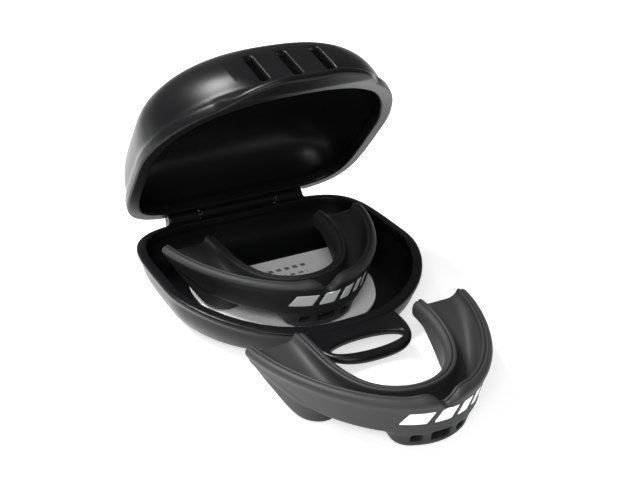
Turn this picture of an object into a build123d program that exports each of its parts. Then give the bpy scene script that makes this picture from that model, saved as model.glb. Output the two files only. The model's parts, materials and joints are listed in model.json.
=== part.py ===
"""Boil-and-bite mouthguard with its clamshell carry case.

The case stands on its flat underside with the lid part open. One guard lies in it on a printed card and a
second guard lies on the table in front of it. Millimetres, +Z up, the front of the case towards -Y, origin at
the middle of the case's underside.
"""
from build123d import *
from math import cos, sin, sqrt, radians
import os

# ---- guard: the driving sizes, which everything else is fitted round ----
guard_width = 64.0
guard_depth = 41.0
guard_height = 14.5
arm_width = 16.8             # across one arm at its end
front_width = 12.4           # from the front wall's lip back to the palate
guard_foot_inset = 5.2       # the outer wall leans in by this much from lip to foot
guard_sharpness = 1.5        # lower is more pointed
palate_sharpness = 3.0
lip_thickness = 2.8
liner_thickness = 1.0
trough_depth_end = 3.05      # from the lip down to the lining, at the arm ends
floor_over_skirt = 1.15      # lining above the outer wall's underside, at the front
skirt_height = 4.5           # underside of the outer wall above the feet
block_length = 19.7          # the feet's reach from the arm ends
heel_height = 7.6            # how much is cut away under the arm ends
heel_length = 11.0
tab_top_width = 23.5
tab_foot_width = 18.5
tab_thickness = 4.2
hole_height = 1.7            # underside of the breathing holes
centre_hole_width = 5.0
centre_hole_height = 2.6
side_hole_width = 2.6
side_hole_height = 1.8
side_hole_offset = 5.8
notch_width = 6.0
notch_depth = 2.4

# ---- room round the stored guard ----
side_room = 2.55             # from each arm to the case's wall
room_behind = 18.0           # from the arm ends to the case's back edge
room_in_front = 10.0         # from the front wall to the case's front edge
head_room = 20.1             # from the lips to the top of the shut lid
body_gap = 0.30
loose_gap = 1.0              # between the shut lid's lip and the loose guard's arm ends

# ---- case ----
case_wall = 1.7
rim_height = 13.0            # parting level over the back half
rim_drop = 3.2               # how much lower the parting line is at the front
dip_length = 29.0            # how far behind the front it starts to drop
back_squareness = 5.0        # exponent of the plan's back half
front_squareness = 2.5       # exponent of the plan's front half
nose_taper = 0.15            # how much the front half narrows
foot_inset = 9.0             # rounding at the bottom edge, inwards
foot_rise = 8.5              # rounding at the bottom edge, upwards
crown_width = 12.0           # what the dome closes in to at its top
crown_depth = 7.0
rim_bead = 0.9               # how far the rim bands stand proud
base_bead_height = 1.8
lid_bead_height = 2.2
parting_gap = 0.30

# ---- hinge ----
hinge_stand_off = 2.2        # pin centre behind the back wall
knuckle_radius = 2.3
pin_radius = 0.9
pin_running_gap = 0.05
pin_seat_gap = 0.02
pin_end_inset = 0.4          # pin's ends inside the outer knuckles' faces
lid_knuckle_length = 24.0
base_knuckle_length = 9.5
knuckle_gap = 0.40
lug_depth = 5.0
lug_behind_pin = 1.4
lid_rest_angle = 49.0        # how far the lid stands open

# ---- lid front ----
thumb_lip_width = 42.0
thumb_lip_reach = 5.4
facet_width = 34.0           # the flat that the front of the dome is cut back to
facet_lean = 27.0
facet_inset = 1.0            # flat's lower edge behind the case's front
slot_count = 3
slot_pitch = 9.4
slot_width = 2.6
slot_length = 10.5
slot_above_rim = 3.2         # lower ends of the slots

# ---- carry loop ----
loop_side_gap = 1.2          # between the loop and the loose guard's arms
loop_bar = 3.9               # material on each side of the hole
loop_reach = 15.5
loop_squareness = 2.6
loop_thickness = 2.4
loop_below_rim = 0.3
loop_hole_depth = 6.6
loop_hole_reach = 8.6        # hole's centre in front of the case

# ---- card ----
card_thickness = 0.4
card_side_gap = 0.8
card_back_edge = 15.5        # from the case's back edge

# ---- sizes that follow ----
floor_top = case_wall
stored_z = floor_top + card_thickness + body_gap
case_width = guard_width + 2 * (side_room + case_wall)
case_depth = room_behind + guard_depth + room_in_front
case_height = stored_z + guard_height + head_room
crown_side_inset = (case_width - crown_width) / 2
crown_front_inset = case_depth - crown_depth - crown_side_inset
palate_width = guard_width - 2 * arm_width
palate_depth = guard_depth - front_width
loop_width = palate_width - 2 * loop_side_gap
loop_hole_width = loop_width - 2 * loop_bar
trough_floor_end = guard_height - trough_depth_end
trough_floor_front = skirt_height + floor_over_skirt
case_back = case_depth / 2
case_front = -case_depth / 2
parting_front = rim_height - rim_drop
hinge_y = case_back + hinge_stand_off
hinge_z = rim_height + parting_gap / 2
stored_y = case_back - room_behind
lip_radius = rim_bead + 2 * thumb_lip_reach
lip_share = min(palate_width / thumb_lip_width, 1.0)
lip_at_arms = lip_radius * sqrt(1 - lip_share ** 2) - thumb_lip_reach
loose_y = case_front - max(lip_at_arms, rim_bead) - loose_gap
reach_past = 60.0            # longer than anything that it cuts


def superellipse(half_x, half_y, nx, ny, steps, start, end):
    """Points of |x / half_x| ** nx + |y / half_y| ** ny = 1 from angle start to end, in degrees."""
    points = []
    for i in range(steps + 1):
        a = radians(start + (end - start) * i / steps)
        c = cos(a)
        s = sin(a)
        x = half_x * abs(c) ** (2 / nx) * (1 if c > 0 else -1)
        y = half_y * abs(s) ** (2 / ny) * (1 if s > 0 else -1)
        points.append((x, y))
    return points


def rounded_square(half_x, half_y, exponent, steps, start, end):
    """The same curve with one exponent, its points in evenly spaced directions."""
    points = []
    for i in range(steps):
        a = radians(start + (end - start) * i / steps)
        r = (abs(cos(a)) ** exponent + abs(sin(a)) ** exponent) ** (-1 / exponent)
        points.append((half_x * r * cos(a), half_y * r * sin(a)))
    return points


def case_plan(side_inset, front_inset, back_inset):
    """The case's plan: square-shouldered at the back, rounded and narrower at the front."""
    half_x = case_width / 2 - side_inset
    half_y = (case_depth - front_inset - back_inset) / 2
    middle = (front_inset - back_inset) / 2
    back = rounded_square(half_x, half_y, back_squareness, 12, 0, 180)
    front = rounded_square(half_x, half_y, front_squareness, 10, 180, 360)
    points = []
    for x, y in back + front:
        nose = max(-y / half_y, 0.0)
        points.append((x * (1 - nose_taper * nose), y + middle))
    return make_face(Spline(*points, periodic=True))


def case_sections():
    """Height and side, front and back insets of the closed case, from its foot to its crown."""
    sections = []
    for step in (0.0, 0.18, 0.42, 0.75):
        low = sqrt(1 - (1 - step) ** 2)
        inset = foot_inset * (1 - low)
        sections.append((foot_rise * step, inset, inset, inset))
    sections.append((rim_height, 0.0, 0.0, 0.0))
    for h in (0.3, 0.55, 0.75, 0.88, 0.96, 1.0):
        side = crown_side_inset * (1 - (1 - h ** 3) ** (1 / 3))
        front = crown_front_inset * (1 - sqrt(1 - h ** 2))
        sections.append((rim_height + (case_height - rim_height) * h, side, front, side))
    return sections


def pebble(inward):
    """The closed case's outer form, or its hollow when inward is the wall."""
    squeeze = (case_height - 2 * inward) / case_height
    faces = []
    for z, side, front, back in case_sections():
        face = case_plan(side + inward, front + inward, back + inward)
        faces.append(Pos(0, 0, inward + z * squeeze) * face)
    return loft(faces)


def below_parting(raise_by):
    """Everything under the parting surface, which is level at the back and dips to the front."""
    far_back = case_back + 20
    far_front = case_front - 25
    dip_start = case_front + dip_length
    level = Line((far_back, rim_height), (dip_start, rim_height))
    dip = TangentArc((dip_start, rim_height), (case_front, parting_front), tangent=(-1, 0))
    run_out = Line((case_front, parting_front), (far_front, parting_front))
    down = Line((far_front, parting_front), (far_front, -reach_past))
    under = Line((far_front, -reach_past), (far_back, -reach_past))
    up = Line((far_back, -reach_past), (far_back, rim_height))
    profile = make_face([level, dip, run_out, down, under, up])
    solid = extrude(Plane.YZ * profile, amount=reach_past, both=True)
    return Pos(0, 0, raise_by) * solid


def rim_band(grow, low, high):
    """A band of the plan, grown outwards, between two copies of the parting surface."""
    plan = extrude(case_plan(-grow, -grow, -grow), amount=case_height)
    return (plan & below_parting(high)) - below_parting(low)


def along_x(radius, x_from, x_to):
    """A round bar on the hinge's line."""
    bar = Cylinder(radius, x_to - x_from)
    return Pos((x_from + x_to) / 2, hinge_y, hinge_z) * Rot(0, 90, 0) * bar


def box_between(low, high):
    size = [high[i] - low[i] for i in range(3)]
    middle = [(high[i] + low[i]) / 2 for i in range(3)]
    return Pos(*middle) * Box(*size)


def front_flat(inward):
    """What the flat on the front of the dome takes away, moved inwards by the wall for the hollow."""
    half = facet_width / 2 + inward
    behind = inward / cos(radians(facet_lean))
    away = box_between((-half, -reach_past, -reach_past / 4), (half, behind, reach_past))
    above_band = rim_height + parting_gap + lid_bead_height
    leaning = Pos(0, case_front + facet_inset, above_band) * Rot(-facet_lean, 0, 0) * away
    return leaning - below_parting(parting_gap + lid_bead_height)


outer = pebble(0.0) - front_flat(0.0)
hollow = pebble(case_wall) - front_flat(case_wall)
shell = outer - hollow
lid_reach = lid_knuckle_length / 2
base_knuckles = []
for side in (-1, 1):
    ends = sorted((side * (lid_reach + knuckle_gap), side * (lid_reach + knuckle_gap + base_knuckle_length)))
    base_knuckles.append(ends)
pin_reach = lid_reach + knuckle_gap + base_knuckle_length - pin_end_inset


def make_base():
    base = shell & below_parting(0)
    base += rim_band(rim_bead, -base_bead_height, 0) - hollow
    for x_from, x_to in base_knuckles:
        low = (x_from, case_back - case_wall, hinge_z - lug_depth)
        high = (x_to, hinge_y + lug_behind_pin, hinge_z - parting_gap / 2)
        base += (box_between(low, high) - hollow)
        base += along_x(knuckle_radius, x_from, x_to)
    base -= along_x(knuckle_radius + body_gap, -lid_reach - knuckle_gap, lid_reach + knuckle_gap)
    base -= along_x(pin_radius + pin_seat_gap, -pin_reach, pin_reach)
    return base


def make_thumb_lip():
    """A shallow crescent that stands out of the front of the lid's rim."""
    crescent = Pos(0, case_front + thumb_lip_reach) * Ellipse(thumb_lip_width / 2, lip_radius)
    lip = extrude(crescent, amount=case_height) & below_parting(parting_gap + lid_bead_height)
    return lip - below_parting(parting_gap) - hollow


def slot_cutter(x):
    """One vent slot: a narrow upright tongue that runs down the lid's sloping front."""
    foot = parting_front + parting_gap + lid_bead_height + slot_above_rim
    low = (x - slot_width / 2, case_front - thumb_lip_reach, foot)
    high = (x + slot_width / 2, case_front / 2, foot + slot_length)
    return box_between(low, high)


def make_lid():
    lid = shell - below_parting(parting_gap)
    lid += rim_band(rim_bead, parting_gap, parting_gap + lid_bead_height) - hollow
    lid += make_thumb_lip()
    for i in range(slot_count):
        lid -= slot_cutter(slot_pitch * (i - (slot_count - 1) / 2))
    low = (-lid_reach, case_back - case_wall, hinge_z + parting_gap / 2)
    high = (lid_reach, hinge_y, hinge_z + knuckle_radius)
    lid += (box_between(low, high) - hollow)
    lid += along_x(knuckle_radius, -lid_reach, lid_reach)
    for x_from, x_to in base_knuckles:
        lid -= along_x(knuckle_radius + body_gap, x_from - knuckle_gap, x_to + knuckle_gap)
    lid -= along_x(pin_radius + pin_running_gap, -lid_reach - 1, lid_reach + 1)
    return lid


def opened(shape, angle):
    """The shape turned about the hinge, front upwards."""
    return Pos(0, hinge_y, hinge_z) * Rot(-angle, 0, 0) * Pos(0, -hinge_y, -hinge_z) * shape


def make_loop():
    """The flat loop that stands out of the base's front rim."""
    rim = superellipse(loop_width / 2, loop_reach, loop_squareness, loop_squareness, 12, 180, 360)
    curve = Spline(*rim)
    close = Polyline(rim[-1], (rim[-1][0], 12), (rim[0][0], 12), rim[0])
    flat = make_face([curve, close])
    flat -= Pos(0, -loop_hole_reach) * Ellipse(loop_hole_width / 2, loop_hole_depth / 2)
    top = parting_front - loop_below_rim
    bar = extrude(Pos(0, case_front, top - loop_thickness) * flat, amount=loop_thickness)
    return bar - outer - rim_band(rim_bead, -base_bead_height, 0)


def make_card():
    inset = foot_inset + case_wall + card_side_gap
    plan = case_plan(inset, inset, inset)
    card = extrude(Pos(0, 0, floor_top) * plan, amount=card_thickness)
    keep = box_between((-reach_past, -reach_past, 0), (reach_past, case_back - card_back_edge, case_height))
    return card & keep


def arch_plan(half_x, depth, sharpness, past_end):
    """A guard-shaped D: the arch, and straight sides that run past the arm ends."""
    curve = superellipse(half_x, depth, 2, sharpness, 14, 180, 360)
    sides = Polyline(curve[-1], (half_x, past_end), (-half_x, past_end), curve[0])
    return make_face([Spline(*curve), sides])


def leaning_arch(inward, past_end, top):
    """The guard's outer form moved inwards, leaning in from the lip down to the foot."""
    sections = []
    for z in (0, top):
        lean = guard_foot_inset * (1 - z / guard_height)
        half = guard_width / 2 - inward - lean
        plan = arch_plan(half, guard_depth - inward - lean / 2, guard_sharpness, past_end)
        sections.append(Pos(0, 0, z) * plan)
    return loft(sections)


def trough(inward, raise_floor):
    """The channel that the teeth lie in, from its sloping floor upwards."""
    palate = arch_plan(palate_width / 2 + inward, palate_depth + inward, palate_sharpness, reach_past / 2)
    ring = leaning_arch(inward, reach_past / 4, guard_height + 5) - extrude(palate, amount=reach_past)
    end = trough_floor_end + raise_floor
    front = trough_floor_front + raise_floor
    slope = (end - front) / guard_depth
    side = Polyline((20, end + 20 * slope), (-guard_depth, front), (-guard_depth, 30), (20, 30), close=True)
    return ring & extrude(Plane.YZ * make_face(side), amount=reach_past, both=True)


def guard_hull():
    return leaning_arch(0, 0.001, guard_height)


def make_guard_shell():
    palate = extrude(arch_plan(palate_width / 2, palate_depth, palate_sharpness, reach_past / 4), amount=30)
    body = guard_hull() - palate
    tall = guard_height + 5
    blocks = box_between((-reach_past, -block_length, -1), (reach_past, 10, tall))
    skirt = box_between((-reach_past, -reach_past, skirt_height), (reach_past, 10, tall))
    flare = (tab_top_width - tab_foot_width) / 2 / skirt_height
    top = tab_top_width / 2 + flare
    foot = tab_foot_width / 2 - flare
    tab_top = skirt_height + 1
    tab_face = make_face(Polyline((-foot, -1), (foot, -1), (top, tab_top), (-top, tab_top), close=True))
    tab = extrude(Plane.XZ * tab_face, amount=reach_past)
    foot_half = guard_width / 2 - guard_foot_inset
    behind = arch_plan(foot_half, guard_depth - tab_thickness, guard_sharpness, reach_past)
    tab -= extrude(behind, amount=skirt_height)
    body = body & (blocks + skirt + tab)
    heel = Polyline((heel_length, -1), (heel_length, heel_height), (0, heel_height), (-heel_length, 0),
                    (-heel_length, -1), close=True)
    body -= extrude(Plane.YZ * make_face(heel), amount=reach_past, both=True)
    body -= trough(lip_thickness - liner_thickness, -liner_thickness)
    body -= make_breathing_holes()
    return body - make_notch()


def make_breathing_holes():
    centre = Box(centre_hole_width, 3 * tab_thickness, centre_hole_height)
    holes = Pos(0, -guard_depth, hole_height + centre_hole_height / 2) * centre
    for side in (-1, 1):
        hole = Box(side_hole_width, 4 * tab_thickness, side_hole_height)
        holes += Pos(side * side_hole_offset, -guard_depth, hole_height + centre_hole_height / 2) * hole
    return holes


def make_notch():
    """The cut in the front lip that clears the frenum of the upper lip."""
    half = notch_width / 2
    over = guard_height + 3
    vee = Polyline((-half, guard_height), (0, guard_height - notch_depth), (half, guard_height), (half, over),
                   (-half, over), close=True)
    front = -(guard_depth - palate_depth - lip_thickness) / 2 - palate_depth
    return Pos(0, front, 0) * extrude(Plane.XZ * make_face(vee), amount=reach_past / 2)


def make_guard_liner():
    """The softer lining of the trough."""
    lining = trough(lip_thickness - liner_thickness, -liner_thickness) - trough(lip_thickness, 0)
    lining = lining & guard_hull()
    return lining - make_notch()


stored = Pos(0, stored_y, stored_z)
loose = Pos(0, loose_y, 0)
guard_shell = make_guard_shell()
guard_liner = make_guard_liner()

nodes = {
    "case_base": make_base(),
    "case_lid": opened(make_lid(), lid_rest_angle),
    "hinge_pin": along_x(pin_radius, -pin_reach, pin_reach),
    "carry_loop": make_loop(),
    "insert_card": make_card(),
    "stored_guard_shell": stored * guard_shell,
    "stored_guard_liner": stored * guard_liner,
    "loose_guard_shell": loose * guard_shell,
    "loose_guard_liner": loose * guard_liner,
}

os.makedirs("parts", exist_ok=True)
for name, shape in nodes.items():
    export_step(shape, "parts/" + name + ".step")
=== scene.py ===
import json
import math

import bpy
import numpy as np
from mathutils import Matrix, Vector


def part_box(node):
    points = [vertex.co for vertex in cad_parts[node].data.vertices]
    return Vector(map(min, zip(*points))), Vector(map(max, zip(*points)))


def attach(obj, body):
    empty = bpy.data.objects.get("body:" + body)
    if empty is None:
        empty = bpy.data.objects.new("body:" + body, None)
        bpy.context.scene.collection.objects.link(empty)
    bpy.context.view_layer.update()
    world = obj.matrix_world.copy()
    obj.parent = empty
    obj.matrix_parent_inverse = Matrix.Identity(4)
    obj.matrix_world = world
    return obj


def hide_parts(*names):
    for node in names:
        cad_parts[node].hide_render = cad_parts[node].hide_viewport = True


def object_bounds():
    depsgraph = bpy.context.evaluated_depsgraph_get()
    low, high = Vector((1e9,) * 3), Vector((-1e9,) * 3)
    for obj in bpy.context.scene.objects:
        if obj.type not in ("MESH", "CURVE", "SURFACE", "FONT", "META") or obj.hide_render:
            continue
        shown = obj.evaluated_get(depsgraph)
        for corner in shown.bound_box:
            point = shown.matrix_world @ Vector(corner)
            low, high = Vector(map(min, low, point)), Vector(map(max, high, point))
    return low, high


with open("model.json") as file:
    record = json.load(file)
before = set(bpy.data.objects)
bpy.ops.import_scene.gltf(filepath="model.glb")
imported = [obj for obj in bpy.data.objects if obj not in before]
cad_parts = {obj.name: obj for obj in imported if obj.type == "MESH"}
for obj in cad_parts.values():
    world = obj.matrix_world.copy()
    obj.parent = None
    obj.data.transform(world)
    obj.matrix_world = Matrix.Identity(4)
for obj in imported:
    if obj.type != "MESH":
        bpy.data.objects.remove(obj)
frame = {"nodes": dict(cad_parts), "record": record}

cad_low, cad_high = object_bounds()

# Every form below is a field in millimetres, negative inside, that becomes a mesh by surface nets.
MM = 0.001
FINE = 0.30                      # grid step of the guards, in mm
SHEET = 0.46                     # grid step of the case
LOOP_STEP = 0.28
MARK_STEP = 0.16


# ---------------------------------------------------------------- fields
def smax(a, b, k):
    """The greater of two fields, with the edge between them rounded over about k."""
    h = np.maximum(k - np.abs(a - b), 0.0) / k
    return np.maximum(a, b) + h * h * k * 0.25


def smin(a, b, k):
    return -smax(-a, -b, k)


def step01(t):
    t = np.clip(t, 0.0, 1.0)
    return t * t * (3.0 - 2.0 * t)


def bump(t):
    return np.exp(-t * t)


def true_distance(form, x, y, z):
    """A field scaled to millimetres near its own surface, from its slope there."""
    eps = 0.05
    f = form(x, y, z)
    gx = (form(x + eps, y, z) - f) / eps
    gy = (form(x, y + eps, z) - f) / eps
    gz = (form(x, y, z + eps) - f) / eps
    return f / np.sqrt(gx * gx + gy * gy + gz * gz + 1e-5)


# ---------------------------------------------------------------- meshes
CORNERS = [(i, j, k) for i in (0, 1) for j in (0, 1) for k in (0, 1)]
EDGES = [(a, b) for a in range(8) for b in range(a + 1, 8)
         if sum(abs(CORNERS[a][n] - CORNERS[b][n]) for n in range(3)) == 1]


def surface_net(values, low, step):
    """Points and quads of the surface where a grid of values changes sign."""
    inside = values < 0
    shape = [n - 1 for n in values.shape]

    def corner(grid, c):
        return grid[c[0]:c[0] + shape[0], c[1]:c[1] + shape[1], c[2]:c[2] + shape[2]]

    count = sum(corner(inside, c).astype(np.int8) for c in CORNERS)
    cells = np.argwhere((count > 0) & (count < 8))
    value = np.stack([values[cells[:, 0] + c[0], cells[:, 1] + c[1], cells[:, 2] + c[2]] for c in CORNERS], 1)
    total = np.zeros((len(cells), 3))
    hits = np.zeros((len(cells), 1))
    for a, b in EDGES:
        crossed = (value[:, a] < 0) != (value[:, b] < 0)
        share = value[crossed, a] / (value[crossed, a] - value[crossed, b])
        start = np.array(CORNERS[a], float)
        total[crossed] += start + (np.array(CORNERS[b], float) - start) * share[:, None]
        hits[crossed] += 1
    points = (cells + total / hits) * step + np.array(low)
    index = np.full(shape, -1, np.int64)
    index[cells[:, 0], cells[:, 1], cells[:, 2]] = np.arange(len(cells))
    quads = []
    for axis in range(3):
        second, third = (axis + 1) % 3, (axis + 2) % 3
        first_part = [slice(1, -1)] * 3
        next_part = [slice(1, -1)] * 3
        first_part[axis] = slice(0, -1)
        next_part[axis] = slice(1, None)
        here = inside[tuple(first_part)]
        there = inside[tuple(next_part)]
        at = np.argwhere(here != there)
        outward = here[at[:, 0], at[:, 1], at[:, 2]]
        at = at + 1
        at[:, axis] -= 1
        ring = []
        for back_2, back_3 in ((1, 1), (0, 1), (0, 0), (1, 0)):
            cell = at.copy()
            cell[:, second] -= back_2
            cell[:, third] -= back_3
            ring.append(index[cell[:, 0], cell[:, 1], cell[:, 2]])
        quad = np.stack(ring, 1)
        quad[~outward] = quad[~outward][:, ::-1]
        quads.append(quad)
    return points, np.concatenate(quads)


def settle(field, points, step):
    """Moves points onto the field's exact surface."""
    eps = 0.02
    for _ in range(3):
        x, y, z = points.T
        f = field(x, y, z)
        slope = np.stack([
            field(x + eps, y, z) - field(x - eps, y, z),
            field(x, y + eps, z) - field(x, y - eps, z),
            field(x, y, z + eps) - field(x, y, z - eps)], 1) / (2 * eps)
        size = (slope * slope).sum(1) + 1e-6
        move = -slope * (f / size)[:, None]
        points = points + np.clip(move, -0.4 * step, 0.4 * step)
    return points


def net_piece(name, field, low, high, step, place=None):
    """A mesh object of a field's surface; place moves its points, in mm, to the row frame."""
    low = np.array(low, float) - step * 1.37
    counts = [int((high[i] + step * 1.5 - low[i]) / step) + 2 for i in range(3)]
    axes = [low[i] + step * np.arange(counts[i]) for i in range(3)]
    grid = np.empty(counts)
    for k in range(0, counts[2], 16):
        x, y, z = np.meshgrid(axes[0], axes[1], axes[2][k:k + 16], indexing="ij")
        grid[:, :, k:k + 16] = field(x, y, z)
    points, quads = surface_net(grid, low, step)
    points = settle(field, points, step)
    if place is not None:
        points = place(points)
    return mesh_object(name, points * MM, quads)


def mesh_object(name, points, quads):
    mesh = bpy.data.meshes.new(name)
    mesh.vertices.add(len(points))
    mesh.vertices.foreach_set("co", points.astype(np.float32).ravel())
    mesh.loops.add(quads.size)
    mesh.loops.foreach_set("vertex_index", quads.astype(np.int32).ravel())
    mesh.polygons.add(len(quads))
    mesh.polygons.foreach_set("loop_start", np.arange(0, quads.size, 4, dtype=np.int32))
    mesh.polygons.foreach_set("use_smooth", np.ones(len(quads), bool))
    mesh.update(calc_edges=True)
    mesh.validate()
    piece = bpy.data.objects.new(name, mesh)
    bpy.context.collection.objects.link(piece)
    return piece


# ---------------------------------------------------------------- places, from the frame
def box_mm(node):
    low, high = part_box(node)
    return np.array(low) / MM, np.array(high) / MM


hinge = next(j for j in frame["record"]["behaviour"]["joints"] if j["name"] == "lid_hinge")
HINGE_Y = hinge["pos_m"][1] / MM
HINGE_Z = hinge["pos_m"][2] / MM
LID_OPEN = math.radians(-hinge["range_deg"][0])
pin_high = box_mm("hinge_pin")[1]
shell_low, shell_high = box_mm("loose_guard_shell")
stored_low, stored_high = box_mm("stored_guard_shell")
loop_low, loop_high = box_mm("carry_loop")

# ---------------------------------------------------------------- the guard
GUARD_HALF = (shell_high[0] - shell_low[0]) / 2
GUARD_DEPTH = 41.0
GUARD_TALL = shell_high[2] - shell_low[2]
GUARD_SHARP = 1.5
FOOT_LEAN = 5.2
PALATE_HALF = 15.2
PALATE_DEPTH = 28.6
PALATE_SHARP = 3.0
LIP = 2.8
LINING = 1.0
BITE = 2.8                        # thickness of the bite plane
SKIRT = 4.4                       # underside of the front wall
TROUGH_END = 12.2                 # height of the trough's floor at the arm ends
TROUGH_FALL = 6.7                 # how far it drops to the front
NOTCH_DEEP = 2.6                  # the notch in the front lip
NOTCH_HALF = 2.1
BLOCK_LONG = 19.7
HEEL_TALL = 7.6                   # what is cut away under the arm ends
HEEL_LONG = 11.0
TAB_HALF = 9.3                    # the front tab, at its foot
TAB_SPREAD = 2.5                  # how much wider it is where it meets the wall
CENTRE_HOLE = (2.5, 1.3, 0.35)    # half width, half height and corner of a breathing hole
CENTRE_HOLE_UP = 3.0
SIDE_HOLE = (1.3, 0.95, 0.6)
SIDE_HOLE_UP = 2.75
SIDE_HOLE_OUT = 5.8


def arch(x, y, half, depth, sharp):
    """Distance from a guard-shaped arch with straight arms past y = 0."""
    v = np.maximum(-y, 0.0) / depth
    g = (x / half) ** 2 + v ** sharp - 1.0
    gx = 2.0 * x / half ** 2
    gy = sharp * v ** (sharp - 1.0) / depth
    return g / np.sqrt(gx * gx + gy * gy + 1e-4)


def guard_walls(x, y, z):
    rise = np.clip(z / GUARD_TALL, 0.0, 1.0)
    lean = FOOT_LEAN * (1.0 - rise) ** 1.15
    bead = 0.35 * bump((z - GUARD_TALL + 1.5) / 1.2)
    outer = arch(x, y, GUARD_HALF - lean + bead - 0.2, GUARD_DEPTH - lean * 0.5 + bead - 0.2, GUARD_SHARP)
    palate = arch(x, y, PALATE_HALF, PALATE_DEPTH, PALATE_SHARP)
    return outer, palate


def bite_height(x, y):
    """Height of the trough's floor, which is high at the arm ends and deep at the front."""
    q = np.clip(-y / GUARD_DEPTH, 0.0, 1.0)
    return TROUGH_END - TROUGH_FALL * step01((q - 0.04) / 0.74)


def lip_height(x, y, outer, palate):
    q = np.clip(-y / GUARD_DEPTH, 0.0, 1.0)
    across = np.maximum(-outer, 0.0) / (np.maximum(-outer, 0.0) + np.maximum(palate, 0.0) + 1e-3)
    inner_share = step01((across - 0.3) / 0.4)
    front = step01((q - 0.72) / 0.15)
    notch = NOTCH_DEEP * bump(x / NOTCH_HALF) - 0.35 * bump((np.abs(x) - 5.0) / 2.0)
    outer_lip = GUARD_TALL - 0.1 - notch * front
    inner_lip = GUARD_TALL - 0.1 - 2.5 * step01((q - 0.1) / 0.6)
    return outer_lip * (1.0 - inner_share) + inner_lip * inner_share


def trough_field(x, y, z, outer, palate):
    """Negative in the air of the trough."""
    walls = smax(outer + LIP, LIP - palate, 2.2)
    return smax(walls, bite_height(x, y) - z, 2.8)


def guard_solid(x, y, z, outer, palate):
    lip = lip_height(x, y, outer, palate)
    q = np.clip(-y / GUARD_DEPTH, 0.0, 1.0)
    body = smax(outer, -palate, 1.6)
    body = smax(body, z - lip, 2.2)
    under = smax(outer + 3.4, z - (bite_height(x, y) - BITE), 2.0)
    body = smax(body, -under, 1.0)
    skirt = SKIRT + 5.4 * (1.0 - step01((q - 0.02) / 0.55))
    return smax(body, skirt - z, 1.3)


def bite_block(x, y, z):
    """The foot under each arm, set in from the wall above it."""
    slope = 3.6 * (1.0 - np.clip(z / 10.5, 0.0, 1.0)) ** 0.9
    side = arch(x, y, GUARD_HALF - 1.6 - slope * 0.75, GUARD_DEPTH - 2.4, GUARD_SHARP)
    inner = 1.6 - arch(x, y, PALATE_HALF, PALATE_DEPTH, PALATE_SHARP)
    foot = smax(side, inner, 2.4)
    foot = smax(foot, -BLOCK_LONG - y, 5.0)
    foot = smax(foot, -z, 1.6)
    heel = (HEEL_TALL * (1.0 + y / HEEL_LONG) - z) / math.hypot(1.0, HEEL_TALL / HEEL_LONG)
    foot = smax(foot, heel, 4.0)
    return smax(foot, z - bite_height(x, y) + 1.6, 1.0)


def front_tab(x, y, z, outer):
    """The tongue below the front wall that the breathing holes go through."""
    half = TAB_HALF + TAB_SPREAD * np.clip(z, -1.0, 6.0) / SKIRT
    tab = smax(outer + 0.25, -(outer + 3.6), 1.4)
    tab = smax(tab, np.abs(x) - half, 2.2)
    tab = smax(tab, -z, 1.4)
    tab = smax(tab, z - SKIRT - 3.0, 1.0)
    return smax(tab, y + PALATE_DEPTH, 1.0)


def slot_2d(u, v, half_u, half_v, corner):
    du = np.maximum(np.abs(u) - half_u + corner, 0.0)
    dv = np.maximum(np.abs(v) - half_v + corner, 0.0)
    return np.sqrt(du * du + dv * dv) - corner


def breathing_holes(x, y, z):
    centre = slot_2d(x, z - CENTRE_HOLE_UP, *CENTRE_HOLE)
    side = slot_2d(np.abs(x) - SIDE_HOLE_OUT, z - SIDE_HOLE_UP, *SIDE_HOLE)
    return smax(np.minimum(centre, side), y + PALATE_DEPTH, 0.2)


def guard_shell_field(x, y, z):
    outer, palate = guard_walls(x, y, z)
    body = guard_solid(x, y, z, outer, palate)
    carved = smax(body, LINING - trough_field(x, y, z, outer, palate), 0.35)
    carved = smin(carved, smax(bite_block(x, y, z), LINING - trough_field(x, y, z, outer, palate), 0.3), 0.8)
    carved = smin(carved, front_tab(x, y, z, outer), 1.0)
    carved = smax(carved, y, 2.0)
    return smax(carved, -breathing_holes(x, y, z), 0.5)


def guard_liner_field(x, y, z):
    outer, palate = guard_walls(x, y, z)
    trough = trough_field(x, y, z, outer, palate)
    lining = smax(trough - LINING, -trough, 0.5)
    body = guard_solid(x, y, z, outer, palate)
    return smax(smax(lining, body + 0.02, 0.6), y + 0.05, 1.2)


def bar_2d(u, v, left, right, slant):
    """A slanted upright bar between two places along the wall."""
    middle = (left + right) / 2
    return np.abs(u - middle - slant * v) - (right - left) / 2


MARK_LOW, MARK_HIGH = 5.9, 10.9
MARK_SLANT = 0.55
MARK_BARS = ((-10.0, -4.2), (-2.6, 2.0), (3.6, 6.8), (8.4, 10.4), (12.0, 13.0))


def mark_field(x, y, z):
    """A thin generic mark of slanted bars on the front wall."""
    outer, palate = guard_walls(x, y, z)
    level = z - (MARK_LOW + MARK_HIGH) / 2
    bars = np.full(x.shape, 1e3)
    for left, right in MARK_BARS:
        bars = np.minimum(bars, bar_2d(x, level, left, right, MARK_SLANT))
    tall = np.abs(level) - (MARK_HIGH - MARK_LOW) / 2
    flat = smax(bars, tall, 0.3)
    skin = np.maximum(outer - 0.07, -(outer + 0.25))
    return np.maximum(smax(skin, flat, 0.08), y + PALATE_DEPTH - 2.0)


GUARD_SPAN = (-GUARD_HALF - 1.0, -GUARD_DEPTH - 1.0, -0.5), (GUARD_HALF + 1.0, 0.8, GUARD_TALL + 0.8)

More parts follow.
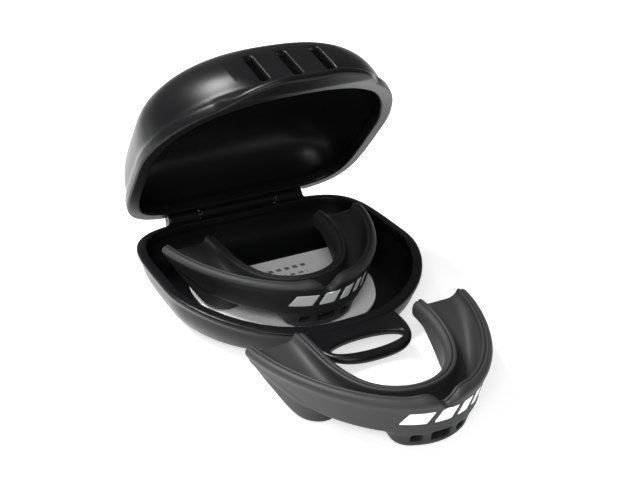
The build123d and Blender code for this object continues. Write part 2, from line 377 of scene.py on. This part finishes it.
# ---------------------------------------------------------------- the case
CASE_HALF = 36.25
CASE_REACH = 34.5                 # half its depth
CASE_TALL = 37.0
NOSE = 0.15                       # how much the plan narrows to the front
PLAN_FRONT, PLAN_BACK = 2.5, 5.0  # powers of the plan's rounded outline
CROWN_BACK = 0.33                 # how far the dome's front leans back, as a share of the reach
RIM = 13.0
RIM_DROP = 3.2
WALL = 1.7
BEAD = 0.9
GAP = 0.3
DIP_FROM = -5.52                  # where the joint line starts to dip to the front
FOOT_ROUND = 10.0
HOLLOW_ROUND = 9.0
BASE_BAND = 1.8                   # heights of the two rim bands
LID_BAND = 2.2
KNUCKLE = 2.3
KNUCKLE_GAP = 0.4
PIN_HOLE_BASE = 0.92
PIN_HOLE_LID = 0.95
LUG_DEEP = 5.0
LUG_BEHIND = 1.4                  # how far the base's lugs reach behind the pin
FLAT_LEAN = math.radians(27.0)    # the flat on the front of the dome
FLAT_FOOT = (1.2, 15.5)           # its foot behind the front, and its height
FLAT_HALF = 16.0
FLAT_ROUND = 1.2
LIP_HALF = 21.0                   # the thumb lip
LIP_REACH = 5.4
DISH_RADIUS = 30.0                # the hollow in the lip's edge for a finger
DISH_DEEP = 1.0
SLOT_PITCH = 9.4
SLOT_MIDDLE = 20.75
SLOT_HALF_LONG = 5.25
SLOT_HALF_WIDE = 1.3
SLOTS_END = -12.0                 # they are cut only in front of this
LID_KNUCKLE = 12.0
BASE_KNUCKLE = (12.4, 21.9)


def case_form(x, y, z):
    """Zero on the closed case's outside: its plan below the rim and a dome above it."""
    h = np.clip((z - RIM) / (CASE_TALL - RIM), 0.0, 1.3)
    front = y < 0.0
    reach = np.where(front, CASE_REACH * (1.0 - CROWN_BACK * np.minimum(h, 1.0) ** 2), CASE_REACH)
    v = np.abs(y) / reach
    n = PLAN_FRONT + (PLAN_BACK - PLAN_FRONT) * step01((y + 10.0) / 22.0)
    forward = np.where(front, np.minimum(v, 1.0), 0.0)
    nose = 1.0 - NOSE * (np.sqrt(forward * forward + 0.04) - 0.2) / 0.82
    draft = 1.0 - 0.0004 * np.maximum(RIM - z, 0.0) ** 1.7
    ring = ((np.abs(x) / (CASE_HALF * nose * draft)) ** n + (v / draft) ** n) ** (1.0 / n)
    return (ring ** 3 + h ** 3) ** (1.0 / 3.0) - 1.0


def parting(y, z):
    """Height above the joint line between base and lid, which dips to the front."""
    along = np.clip((DIP_FROM - y) / (CASE_REACH + DIP_FROM), 0.0, 1.0)
    return z - (RIM - RIM_DROP * along * along)


def facet(x, y, z):
    """The flat that the lid's front is cut back to, between its shoulders."""
    inset, foot = FLAT_FOOT
    flat = (inset - CASE_REACH - y) * math.cos(FLAT_LEAN) + (z - foot) * math.sin(FLAT_LEAN)
    return flat - 1.3 * np.maximum(np.abs(x) - FLAT_HALF, 0.0)


def case_walls(x, y, z):
    form = true_distance(case_form, x, y, z)
    cut = facet(x, y, z)
    outside = smax(form, cut, FLAT_ROUND)
    outer = smax(outside, -z, FOOT_ROUND)
    hollow = smax(smax(form + WALL, cut + WALL, FLAT_ROUND), WALL - z, HOLLOW_ROUND)
    return form, outer, hollow


def bar_along_x(x, y, z, radius, low, high):
    round_part = np.sqrt((y - HINGE_Y) ** 2 + (z - HINGE_Z) ** 2) - radius
    return smax(round_part, np.abs(x - (low + high) / 2) - (high - low) / 2, 0.4)


def block(x, y, z, low, high, k):
    dx = np.abs(x - (low[0] + high[0]) / 2) - (high[0] - low[0]) / 2
    dy = np.abs(y - (low[1] + high[1]) / 2) - (high[1] - low[1]) / 2
    dz = np.abs(z - (low[2] + high[2]) / 2) - (high[2] - low[2]) / 2
    return smax(smax(dx, dy, k), dz, k)


def base_field(x, y, z):
    form, outer, hollow = case_walls(x, y, z)
    line = parting(y, z)
    wall = smax(outer, -hollow, 0.4)
    wall = smax(wall, line, 0.5)
    band = smax(smax(form - BEAD, line, 0.7), -(line + BASE_BAND), 1.0)
    band = smax(band, -hollow, 0.4)
    base = smax(smin(wall, band, 1.0), line, 0.4)
    side = np.abs(x)
    lug = block(side, y, z, (BASE_KNUCKLE[0], CASE_REACH - WALL, HINGE_Z - LUG_DEEP),
                (BASE_KNUCKLE[1], HINGE_Y + LUG_BEHIND, HINGE_Z - GAP / 2), 0.8)
    knuckle = smin(lug, bar_along_x(side, y, z, KNUCKLE, *BASE_KNUCKLE), 0.6)
    base = smin(base, smax(knuckle, -hollow, 0.3), 0.8)
    reach = LID_KNUCKLE + KNUCKLE_GAP
    base = smax(base, -bar_along_x(x, y, z, KNUCKLE + GAP, -reach, reach), 0.2)
    return smax(base, -bar_along_x(side, y, z, PIN_HOLE_BASE, 0.0, pin_high[0]), 0.1)


def thumb_lip(x, y, z, line):
    """The crescent that stands out of the front of the lid's rim."""
    ex, ey = LIP_HALF, BEAD + 2 * LIP_REACH
    cy = LIP_REACH - CASE_REACH
    u = np.sqrt((x / ex) ** 2 + ((y - cy) / ey) ** 2)
    slope = np.sqrt((x / ex ** 2) ** 2 + ((y - cy) / ey ** 2) ** 2) / np.maximum(u, 1e-3)
    ellipse = (u - 1.0) / np.maximum(slope, 1e-3)
    centre = CASE_REACH + BEAD + LIP_REACH + DISH_RADIUS - DISH_DEEP
    dish = DISH_RADIUS - np.sqrt(x * x + (y + centre) ** 2)
    slab = smax(-line, line - LID_BAND, 0.5)
    return smax(smax(ellipse, dish, 1.5), slab, 1.2)


def vent_slots(x, y, z):
    """Three narrow slots that run down the lid's front facet."""
    nearest = x - SLOT_PITCH * np.clip(np.round(x / SLOT_PITCH), -1, 1)
    down = np.abs(z - SLOT_MIDDLE) - SLOT_HALF_LONG
    across = np.abs(nearest) - SLOT_HALF_WIDE
    return smax(smax(across, down, 0.8), y - SLOTS_END, 0.5)


def lid_field(x, y, z):
    form, outer, hollow = case_walls(x, y, z)
    line = parting(y, z) - GAP
    wall = smax(outer, -hollow, 0.4)
    wall = smax(wall, -line, 0.5)
    band = smax(smax(form - 0.6 * BEAD, -line, 0.6), line - LID_BAND, 1.0)
    lid = smin(wall, smax(band, -hollow, 0.4), 3.2)
    lid = smin(lid, smax(thumb_lip(x, y, z, line), -hollow, 0.4), 2.4)
    lid = smax(lid, -line, 0.4)
    lid = smax(lid, -vent_slots(x, y, z), 0.35)
    lug = block(x, y, z, (-LID_KNUCKLE, CASE_REACH - WALL, HINGE_Z + GAP / 2),
                (LID_KNUCKLE, HINGE_Y, HINGE_Z + KNUCKLE), 0.4)
    knuckle = smin(lug, bar_along_x(x, y, z, KNUCKLE, -LID_KNUCKLE, LID_KNUCKLE), 0.4)
    lid = smin(lid, smax(knuckle, -hollow, 0.3), 0.6)
    inner, outside = BASE_KNUCKLE[0] - KNUCKLE_GAP, BASE_KNUCKLE[1] + KNUCKLE_GAP
    lid = smax(lid, -bar_along_x(np.abs(x), y, z, KNUCKLE + GAP, inner, outside), 0.2)
    return smax(lid, -bar_along_x(x, y, z, PIN_HOLE_LID, -LID_KNUCKLE - 1, LID_KNUCKLE + 1), 0.1)


def swing_open(points):
    """Turns the lid's points about the hinge from shut to the rest pose."""
    y = points[:, 1] - HINGE_Y
    z = points[:, 2] - HINGE_Z
    c, s = math.cos(LID_OPEN), math.sin(LID_OPEN)
    return np.stack([points[:, 0], HINGE_Y + y * c + z * s, HINGE_Z - y * s + z * c], 1)


LOOP_HALF = 14.0
LOOP_REACH = 15.5
LOOP_HOLE = (10.1, 3.3)
LOOP_HOLE_OUT = 8.6
LOOP_POWER = 2.6                  # of its rounded outline
LOOP_ROOT = 0.9                   # how far it is set into the wall


def loop_field(x, y, z):
    u = np.abs(x) / LOOP_HALF
    v = np.maximum(-(y + CASE_REACH), 0.0) / LOOP_REACH
    ring = (u ** LOOP_POWER + v ** LOOP_POWER + 1e-9) ** (1.0 / LOOP_POWER)
    rim = (ring - 1.0) * np.where(v > 0.4, LOOP_REACH * 0.92, LOOP_HALF)
    hu = x / LOOP_HOLE[0]
    hv = (y + CASE_REACH + LOOP_HOLE_OUT) / LOOP_HOLE[1]
    h = np.sqrt(hu * hu + hv * hv) + 1e-6
    slope = np.sqrt((hu / LOOP_HOLE[0]) ** 2 + (hv / LOOP_HOLE[1]) ** 2) / h
    hole = (h - 1.0) / np.maximum(slope, 1e-3)
    middle = (loop_low[2] + loop_high[2]) / 2
    flat = np.abs(z - middle) - (loop_high[2] - loop_low[2]) / 2
    bar = smax(smax(rim, -hole, 1.0), flat, 1.5)
    form = true_distance(case_form, x, y, z)
    return smax(bar, -(form + LOOP_ROOT), 0.2)


# ---------------------------------------------------------------- materials
def material(name, colour, roughness, **values):
    mat = bpy.data.materials.new(name)
    mat.use_nodes = True
    shader = mat.node_tree.nodes["Principled BSDF"]
    shader.inputs["Base Color"].default_value = (*colour, 1.0)
    shader.inputs["Roughness"].default_value = roughness
    for key, value in values.items():
        shader.inputs[key.replace("_", " ")].default_value = value
    return mat, mat.node_tree, shader


def node(tree, kind, **inputs):
    made = tree.nodes.new(kind)
    for key, value in inputs.items():
        made.inputs[key.replace("_", " ")].default_value = value
    return made


def noise(tree, coords, scale, detail):
    made = node(tree, "ShaderNodeTexNoise", Scale=scale, Detail=detail)
    tree.links.new(coords.outputs["Object"], made.inputs["Vector"])
    return made


def ramp(tree, source, low, high, from_low=0.3, from_high=0.7):
    made = node(tree, "ShaderNodeMapRange", From_Min=from_low, From_Max=from_high, To_Min=low, To_Max=high)
    tree.links.new(source, made.inputs["Value"])
    return made


def moulded(name, colour, rough, spread, grain_scale, grain, **values):
    """Moulded plastic or rubber: a fine surface grain and slow changes in gloss."""
    mat, tree, shader = material(name, colour, rough, **values)
    coords = tree.nodes.new("ShaderNodeTexCoord")
    slow = noise(tree, coords, 55.0, 3.0)
    gloss = ramp(tree, slow.outputs["Fac"], rough - spread, rough + spread)
    tree.links.new(gloss.outputs["Result"], shader.inputs["Roughness"])
    fine = noise(tree, coords, grain_scale, 4.0)
    relief = node(tree, "ShaderNodeBump", Strength=grain, Distance=0.00004)
    tree.links.new(fine.outputs["Fac"], relief.inputs["Height"])
    tree.links.new(relief.outputs["Normal"], shader.inputs["Normal"])
    mix = tree.nodes.new("ShaderNodeMix")
    mix.data_type = "RGBA"
    mix.inputs["A"].default_value = (*[c * 0.85 for c in colour], 1.0)
    mix.inputs["B"].default_value = (*[c * 1.2 for c in colour], 1.0)
    tree.links.new(slow.outputs["Fac"], mix.inputs["Factor"])
    tree.links.new(mix.outputs["Result"], shader.inputs["Base Color"])
    return mat


case_black = moulded("case_black", (0.0045, 0.0045, 0.005), 0.33, 0.03, 2600.0, 0.10, IOR=1.27)
shell_black = moulded("shell_black", (0.026, 0.026, 0.027), 0.55, 0.04, 1900.0, 0.22, Specular_IOR_Level=0.24)
liner_black = moulded("liner_black", (0.024, 0.024, 0.025), 0.52, 0.05, 1500.0, 0.20, Specular_IOR_Level=0.24)
mark_white = moulded("mark_white", (0.80, 0.80, 0.80), 0.45, 0.04, 2200.0, 0.10)
pin_steel = moulded("pin_steel_wire", (0.52, 0.52, 0.54), 0.30, 0.06, 3000.0, 0.10, Metallic=1.0)


def calc(tree, kind, first, second=0.0):
    made = tree.nodes.new("ShaderNodeMath")
    made.operation = kind
    for socket, value in zip(made.inputs, (first, second)):
        if isinstance(value, float):
            socket.default_value = value
        else:
            tree.links.new(value, socket)
    return made.outputs["Value"]


def within(tree, value, middle, half):
    """One where the value is within half of the middle."""
    away = calc(tree, "ABSOLUTE", calc(tree, "SUBTRACT", value, middle))
    return calc(tree, "LESS_THAN", away, half)


# The card's print, in metres: dashes in rows, each with its place, half length and half height.
DASH_PITCH = 0.0013
DASH_HALF = 0.00075
CARD_ROWS = ((0.0125, 0.012, 0.0008), (0.0085, 0.010, 0.0005), (0.0060, 0.010, 0.0005),
             (0.0035, 0.008, 0.0005), (-0.0262, 0.009, 0.0006))
CHEVRON_X, CHEVRON_Y = -0.014, -0.0180
CHEVRON_THICK = 0.0011
CHEVRON_HALF = 0.0042


def printed_card():
    """White coated card with rows of grey dashes and a chevron."""
    mat, tree, shader = material("card_print", (0.88, 0.88, 0.88), 0.45)
    coords = tree.nodes.new("ShaderNodeTexCoord")
    apart = tree.nodes.new("ShaderNodeSeparateXYZ")
    tree.links.new(coords.outputs["Object"], apart.inputs["Vector"])
    x, y = apart.outputs["X"], apart.outputs["Y"]
    dash = calc(tree, "LESS_THAN", calc(tree, "PINGPONG", x, DASH_PITCH), DASH_HALF)
    ink = None
    for row, half, tall in CARD_ROWS:
        line = calc(tree, "MULTIPLY", within(tree, y, row, tall), within(tree, x, 0.0, half))
        line = calc(tree, "MULTIPLY", line, dash)
        ink = line if ink is None else calc(tree, "MAXIMUM", ink, line)
    bent = calc(tree, "ADD", y, calc(tree, "ABSOLUTE", calc(tree, "ADD", x, -CHEVRON_X)))
    stroke = within(tree, bent, CHEVRON_Y, CHEVRON_THICK)
    chevron = calc(tree, "MULTIPLY", stroke, within(tree, x, CHEVRON_X, CHEVRON_HALF))
    ink = calc(tree, "MAXIMUM", ink, chevron)
    slow = noise(tree, coords, 900.0, 2.0)
    ink = calc(tree, "MULTIPLY", ink, ramp(tree, slow.outputs["Fac"], 0.75, 0.92).outputs["Result"])
    mix = tree.nodes.new("ShaderNodeMix")
    mix.data_type = "RGBA"
    mix.inputs["A"].default_value = (0.88, 0.88, 0.88, 1.0)
    mix.inputs["B"].default_value = (0.06, 0.06, 0.065, 1.0)
    tree.links.new(ink, mix.inputs["Factor"])
    tree.links.new(mix.outputs["Result"], shader.inputs["Base Color"])
    return mat


card_print = printed_card()


def dress(piece, mat, slot, body, *replaced):
    piece.data.materials.clear()
    piece.data.materials.append(mat)
    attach(piece, body)
    if replaced:
        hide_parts(*replaced)
    return piece


# ---------------------------------------------------------------- pieces
SIDE = CASE_HALF + BEAD + 0.3
BACK = HINGE_Y + KNUCKLE + 0.1
base = net_piece("case_base_shell", base_field, (-SIDE, -CASE_REACH - BEAD - 0.3, 0),
                 (SIDE, BACK, HINGE_Z + KNUCKLE + 0.15), SHEET)
dress(base, case_black, "case_plastic", "base", "case_base")

lid = net_piece("case_lid_dome", lid_field, (-SIDE, -CASE_REACH - BEAD - LIP_REACH - 0.3, RIM - RIM_DROP),
                (SIDE, BACK, CASE_TALL), SHEET, swing_open)
dress(lid, case_black, "case_plastic", "lid", "case_lid")

loop = net_piece("carry_loop_bar", loop_field, (-LOOP_HALF - 0.5, loop_low[1] - 0.5, loop_low[2] - 0.3),
                 (LOOP_HALF + 0.5, -CASE_REACH + 6, loop_high[2] + 0.3), LOOP_STEP)
dress(loop, case_black, "case_plastic", "base", "carry_loop")

for which, low, high in (("stored", stored_low, stored_high), ("loose", shell_low, shell_high)):
    at = np.array([0.0, high[1], low[2]])
    body = which + "_guard"
    parts = (("shell", guard_shell_field, GUARD_SPAN, FINE, shell_black, "guard_shell_rubber"),
             ("liner", guard_liner_field, GUARD_SPAN, FINE, liner_black, "guard_liner_rubber"))
    for part, field, span, grid_step, mat, slot in parts:
        piece = net_piece(which + "_guard_" + part + "_form", field, *span, grid_step, lambda p: p + at)
        dress(piece, mat, slot, body, which + "_guard_" + part)
    mark = net_piece(which + "_guard_mark", mark_field, (-13, -GUARD_DEPTH - 0.6, MARK_LOW - 0.4),
                     (16, -PALATE_DEPTH + 1, MARK_HIGH + 0.4), MARK_STEP, lambda p: p + at)
    dress(mark, mark_white, "guard_shell_rubber", body)

for name, mat in (("hinge_pin", pin_steel), ("insert_card", card_print)):
    mesh = frame["nodes"][name].data
    mesh.materials.clear()
    mesh.materials.append(mat)

# ---------------------------------------------------------------- stage
bpy.ops.mesh.primitive_plane_add(size=6.0, location=(0, 0, cad_low.z - 0.0001))
floor = bpy.context.object
floor.name = "floor"
floor_mat, _, floor_shader = material("floor_white", (0.80, 0.80, 0.80), 0.8)
floor_shader.inputs["Emission Color"].default_value = (1.0, 1.0, 1.0, 1.0)
floor_shader.inputs["Emission Strength"].default_value = 0.62
floor.data.materials.append(floor_mat)

scene = bpy.context.scene
scene.view_settings.view_transform = "Standard"
world = bpy.data.worlds.new("studio")
scene.world = world
world.use_nodes = True
world.node_tree.nodes["Background"].inputs["Color"].default_value = (1, 1, 1, 1)
world.node_tree.nodes["Background"].inputs["Strength"].default_value = 0.16


def soft_light(name, place, aim, size, power):
    data = bpy.data.lights.new(name, "AREA")
    data.shape = "RECTANGLE"
    data.size = size[0]
    data.size_y = size[1]
    data.energy = power
    light = bpy.data.objects.new(name, data)
    light.location = place
    light.rotation_euler = (Vector(aim) - Vector(place)).to_track_quat("-Z", "Y").to_euler()
    bpy.context.collection.objects.link(light)


aim = (0.0, -0.01, 0.02)
soft_light("key", (-0.30, 0.20, 0.62), aim, (0.26, 0.26), 10.0)
soft_light("front", (-0.35, -0.60, 0.55), aim, (0.5, 0.3), 4.0)

# ---------------------------------------------------------------- camera
AZIMUTH = math.radians(-28.0)
ELEVATION = math.radians(26.5)
DISTANCE = 0.285
target = Vector((0.0, -0.018, 0.026))
level = math.cos(ELEVATION)
back = Vector((math.sin(AZIMUTH) * level, -math.cos(AZIMUTH) * level, math.sin(ELEVATION)))
camera_data = bpy.data.cameras.new("camera")
camera_data.lens = 62.0
camera_data.clip_start = 0.01
camera = bpy.data.objects.new("camera", camera_data)
camera.location = target + back * DISTANCE
camera.rotation_euler = (-back).to_track_quat("-Z", "Y").to_euler()
bpy.context.collection.objects.link(camera)
scene.camera = camera
